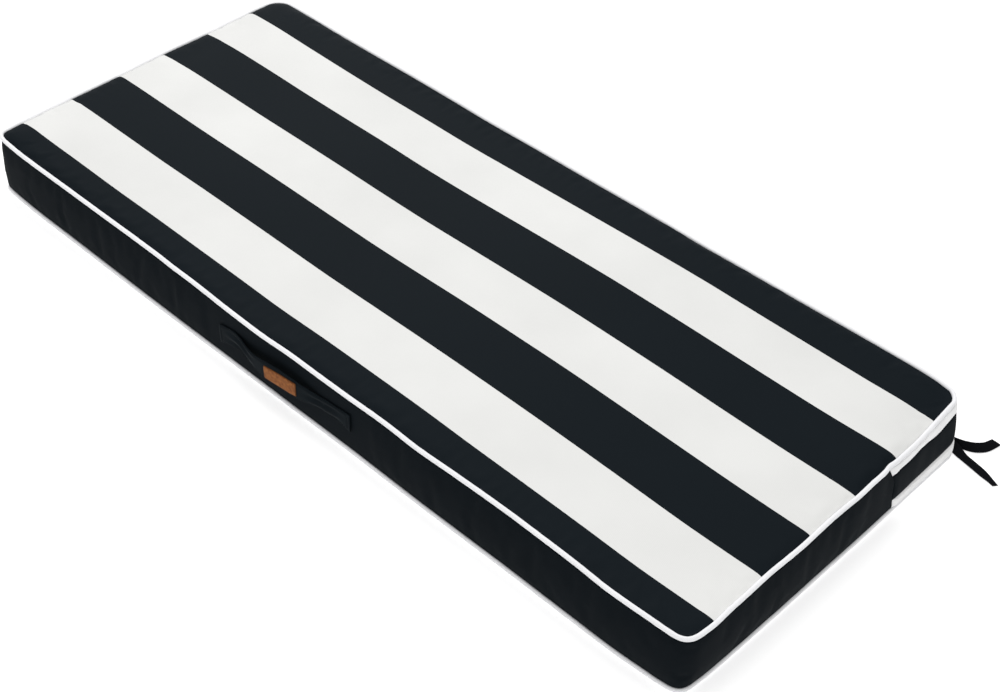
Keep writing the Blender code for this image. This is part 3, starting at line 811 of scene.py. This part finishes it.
def zip_grid(low, rows):
    """Station numbers and heights of points on the zip panel, as arrays of rows by places along it, and each
    place's distance along: every row starts on the seam on the right end and stops on the one on the left end,
    and the rows divide the height from one of the panel's edges to the next evenly."""
    share = np.linspace(0.0, 1.0, rows)[:, None]
    height = ZIP_EDGES[low] + (ZIP_EDGES[low + 1] - ZIP_EDGES[low]) * share
    seam = spline(ZIP_SEAM, 1, height)
    right = np.arange(CORNER_STEPS // 2, ROWS_ACROSS - CORNER_STEPS // 2)
    left = right[::-1] + ROWS_ACROSS + ROWS_ALONG
    begin = np.interp(seam, seams.upper[right, 1], right)
    end = np.interp(seam, seams.upper[left, 1], left)
    number = begin + (end - begin) * np.linspace(0.0, 1.0, ZIP_STATIONS)
    along = np.interp(number, np.arange(COUNT), seams.along[:-1])
    near = np.minimum(along - along[:, :1], along[:, -1:] - along)
    settled = smooth(0.10, 0.18, near)
    waver = (0.0, ZIP_WAVER * uneven(along, 0.110, 5.0), spline(BAND_WAVER, 1, near)
             + ZIP_WAVER * settled * uneven(along, 0.080, 6.0), 0.0)
    height = height + waver[low] * (1 - share) + waver[low + 1] * share
    return number, height, along, near


def zip_piece(name, node, low, thickness, made):
    """A piece of the zip panel between one of its edges and the next: a thin section with rounded edges that
    wrinkles softly along the panel, and thins to nothing where it is sewn into the seam on each end."""
    rows = 11
    number, height, along, near = zip_grid(low, rows)
    share = np.linspace(0.0, 1.0, rows)[:, None]
    bulge = rounded(2 * share - 1, 6)
    from_end = smooth(0.0, ZIP_THINNING, near)
    wrinkle = (ZIP_WRINKLE * (1 + uneven(along, 0.052, 3.0 + low)) * np.sin(np.pi * share)
               * smooth(0.0, 0.02, near))
    clear = 0.0003 * (0.3 + 0.7 * from_end) + np.maximum(wrinkle, 0.0)
    depth = thickness * np.maximum(bulge, 0.12) * (0.15 + 0.85 * from_end)
    inner = seams.on_side(number, height, np.full_like(height, 0.0001))
    outer = seams.on_side(number, height, clear + depth)
    sections = np.concatenate([inner, outer[::-1]]).transpose(1, 0, 2)
    piece = loft(name, sections, made)
    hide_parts(node)


def front_side(along, heights, clear):
    """Points on the front side at places along it, each at a height and clear of it by a distance: the blend of
    the two seams there, pushed out by the swell."""
    front = np.r_[2 * ROWS_ACROSS + ROWS_ALONG + CORNER_STEPS // 2:COUNT - CORNER_STEPS // 2 + 1]
    share = (heights - LOWER_SEAM) / SEAM_RISE
    upper = np.interp(along, seams.upper[front, 0], seams.upper[front, 1])
    lower = np.interp(along, seams.lower[front, 0], seams.lower[front, 1])
    swell = np.interp(along, seams.lower[front, 0], seams.swell[front])
    bow = np.sin(np.pi * share) ** SWELL_SHAPE
    return np.stack([along, lower + (upper - lower) * share - swell * bow - clear, heights], axis=-1)


def strap_relief(x, across):
    """How far the strap's outer face stands off its flat section: folds that fan out of each sewn end where the
    strap narrows, and the shallow channels that the stitching pulls along both edges and across both ends."""
    left = smooth(-0.112, -0.088, x) * (1 - smooth(-0.070, -0.040, x))
    right = smooth(0.030, 0.062, x) * (1 - smooth(0.085, 0.108, x))
    folds = (STRAP_FOLDS[0] * left * np.sin(math.tau * (0.95 * across + 6.0 * (x + 0.118)))
             + STRAP_FOLDS[1] * right * np.sin(math.tau * (0.85 * across - 5.0 * (x - 0.113) + 0.3)))
    edge = np.exp(-((np.abs(across) - STRAP_STITCHING) / 0.05) ** 2)
    ends = np.exp(-((x - STRAP_FROM - STRAP_END) / 0.0012) ** 2)
    ends = ends + np.exp(-((x - STRAP_TO + STRAP_END) / 0.0012) ** 2)
    return folds * (1 - across ** 4) - 0.0003 * np.maximum(edge, ends)


def carrying_strap():
    """The strap: a flat tube of cloth along its path, sewn down at both ends and bowed out between. Its section
    is a strip with rolled edges; its middle is a little hollow where it bows."""
    places = np.linspace(STRAP_FROM, STRAP_TO, STRAP_STATIONS)
    clear, middle, width = (spline(STRAP_PATH, column, places) for column in (1, 2, 3))
    across = np.linspace(-1.0, 1.0, 49)
    edge = rounded(across, STRAP_EDGE)
    section = strip_section(across, 0.5 - 0.5 * edge, 0.5 + 0.5 * edge)
    x = np.repeat(places[:, None], len(section), axis=1)
    heights = middle[:, None] + width[:, None] / 2 * section[None, :, 0]
    is_far = np.arange(len(section)) >= len(across)
    out = clear[:, None] + STRAP_THICKNESS * section[None, :, 1] + is_far * strap_relief(x, section[None, :, 0])
    sections = front_side(x, heights, out)
    piece = loft("carrying_strap", sections[:, ::-1], doubled_canvas)
    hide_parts("handle_strap")


def strap_stitching():
    """Stitch lines on the strap's outer face, near both long edges and across both sewn ends."""
    first, last = STRAP_FROM + STRAP_END, STRAP_TO - STRAP_END
    run, short = np.linspace(first, last, STRAP_STATIONS), np.linspace(-0.8, 0.8, 20)
    lines = []
    for along, across in ((run, np.full(STRAP_STATIONS, STRAP_STITCHING)),
                          (run, np.full(STRAP_STATIONS, -STRAP_STITCHING)),
                          (np.full(20, first), short), (np.full(20, last), short)):
        clear, middle, width = (spline(STRAP_PATH, column, along) for column in (1, 2, 3))
        face = (clear + STRAP_THICKNESS * (0.5 + 0.5 * rounded(across, STRAP_EDGE))
                + strap_relief(along, across))
        points = front_side(along, middle + width / 2 * across, face)
        lines.append((points, np.tile((0.0, -1.0, 0.0), (len(points), 1))))
    stitches("strap_stitching", lines, black_thread)


def zip_stitching():
    """A line of stitches on each white strip, close to the black band."""
    lines = []
    for low, row, edge, offset in ((0, -2, -1, -ZIP_STITCH_INSET), (2, 2, 0, ZIP_STITCH_INSET)):
        number, height, _, near = zip_grid(low, 13)
        height = height[edge] + offset
        number = number[row]
        points = seams.on_side(number, height, np.full(len(height), ZIP_STITCH_CLEAR))
        out = [np.interp(number, np.arange(COUNT), seams.out[:, axis]) for axis in (0, 1)]
        keep = near[row] > ZIP_THINNING
        lines.append((points[keep], np.column_stack([*out, np.zeros(len(height))])[keep]))
    stitches("zip_stitching", lines, white_thread)


def stitches(name, lines, made):
    """Machine stitches along lines, each given as points and the way out of the cloth there. A stitch is a
    spindle of thread, five rings of six points: its middle rises as sin(pi u) over its length and its radius is
    sqrt(sin(pi u)) times the thread's, so that both ends dip into the cloth."""
    middles, runs, outs = [], [], []
    half = STITCH_LENGTH / 2
    for points, out in lines:
        reach = reaches(points)
        at = np.arange(half, reach[-1] - half, STITCH_PITCH)
        place = [np.column_stack([np.interp(at + step, reach, points[:, axis]) for axis in range(3)])
                 for step in (0.0, -half, half)]
        middles.append(place[0])
        runs.append(place[2] - place[1])
        outs.append(np.column_stack([np.interp(at, reach, out[:, axis]) for axis in range(3)]))
    middle, run, out = np.vstack(middles), unit(np.vstack(runs)), np.vstack(outs)
    side = np.cross(run, out)
    u = np.array([0.03, 0.25, 0.5, 0.75, 0.97])
    angle = math.tau * np.arange(6) / 6
    swell = np.sqrt(np.sin(math.pi * u)) * THREAD_RADIUS
    core = (middle[:, None] + run[:, None] * (STITCH_LENGTH * (u - 0.5))[:, None]
            + out[:, None] * (THREAD_RISE * np.sin(math.pi * u))[:, None])
    around = side[:, None] * np.cos(angle)[:, None] + out[:, None] * np.sin(angle)[:, None]
    points = core[:, :, None] + around[:, None] * swell[:, None, None]
    one, _ = band_faces(5, 6)
    caps = np.array([(3, 2, 1, 0), (5, 4, 3, 0), (24, 25, 26, 27), (24, 27, 28, 29)])
    faces = np.vstack([one, caps])
    faces = (faces[None] + 30 * np.arange(len(middle))[:, None, None]).reshape(-1, 4)
    piece = put_mesh(name, points.reshape(-1, 3), faces, points.reshape(-1, 3)[faces][..., :2], [made])


def strap_label():
    """The leather label: a thin slab with rounded edges and corners on the strap's outer face, bowed a little
    along both long edges. Its rim attribute runs from 0 inside to 1 on its outline."""
    share = 0.5 - 0.5 * np.cos(math.pi * np.linspace(0.0, 1.0, 49))
    places = LABEL_CENTRE + LABEL_LENGTH * (share - 0.5)
    middle = np.interp(share, (0.0, 1.0), LABEL_HEIGHTS)
    clear = spline(STRAP_PATH, 1, places) + STRAP_THICKNESS + 0.0001
    from_end = np.minimum(share, 1 - share) * LABEL_LENGTH
    corner = np.clip(1 - from_end / LABEL_CORNER, 0.0, 1.0)
    half = (LABEL_WIDTH / 2 - LABEL_CORNER * (1 - np.sqrt(1 - corner ** 2))
            + LABEL_BOW * (1 - (2 * share - 1) ** 2))
    across = -np.cos(math.pi * np.linspace(0.0, 1.0, 21))
    section = strip_section(across, 0.0 * across, rounded(across, 10))
    x = np.repeat(places[:, None], len(section), axis=1)
    heights = middle[:, None] + half[:, None] * section[None, :, 0]
    thick = LABEL_THICKNESS * np.sqrt(np.clip(from_end / 0.0006, 0.1, 1.0))
    out = clear[:, None] + thick[:, None] * section[None, :, 1]
    piece = loft("strap_label", front_side(x, heights, out)[:, ::-1], leather)
    from_edge = np.minimum(from_end[:, None], half[:, None] * (1 - np.abs(section[None, ::-1, 0])))
    rim = piece.data.attributes.new("rim", "FLOAT", "POINT")
    rim.data.foreach_set("value", (1 - smooth(0.0002, 0.0016, from_edge)).astype(np.float32).ravel())
    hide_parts("handle_label")


def studio():
    """A white floor that glows a little, as painted light that lights the cushion from below and pales its shadow,
    a large soft light overhead, a smaller one behind and to the left, and a pale sky.
    """
    mesh = bpy.data.meshes.new("floor")
    mesh.from_pydata([(-20, -20, 0), (20, -20, 0), (20, 20, 0), (-20, 20, 0)], [], [(0, 1, 2, 3)])
    floor = placed("floor", mesh)
    # Studio floor: matt and almost white, and glowing: painted light that lights the cushion from below and washes
    # out the shadow under it
    made, _, _ = start("glowing_white_floor", Base_Color=linear("f8f8f8"), Roughness=0.9,
                       Emission_Color=linear("ffffff"), Emission_Strength=0.36)
    mesh.materials.append(made)
    world = bpy.data.worlds.new("studio")
    world.use_nodes = True
    sky = world.node_tree.nodes["Background"].inputs
    sky["Color"].default_value = (1.0, 1.0, 1.0, 1.0)
    sky["Strength"].default_value = 0.46
    bpy.context.scene.world = world
    for name, place, size, power in (("overhead_softbox", (-0.1, -0.2, 3.6), 4.5, 112.0),
                                     ("back_softbox", (-2.6, 2.0, 1.7), 1.6, 34.0)):
        data = bpy.data.lights.new(name, "AREA")
        data.shape = "SQUARE"
        data.size = size
        data.energy = power
        lamp = placed(name, data)
        lamp.location = place
        lamp.rotation_euler = (-Vector(place)).to_track_quat("-Z", "Y").to_euler()
    bpy.context.scene.view_settings.view_transform = "Standard"


set_camera()
tie_tail("tie_tape_upper", "tie_tail_upper", UPPER_TAIL, -0.36, 0.0)
tie_tail("tie_tape_lower", "tie_tail_lower", LOWER_TAIL, 0.35, 0.42)
cushion_cover()
piping("lower_welt", "bottom_piping", False, 1.0)
piping("upper_welt", "top_piping", True, 2.0)
zip_piece("zip_lower_strip", "zip_strip_lower", 0, 0.0019, strip_canvas)
zip_piece("zip_black_band", "zip_band", 1, 0.0013, black_canvas)
zip_piece("zip_upper_strip", "zip_strip_upper", 2, 0.0019, strip_canvas)
zip_stitching()
carrying_strap()
strap_stitching()
strap_label()
studio()
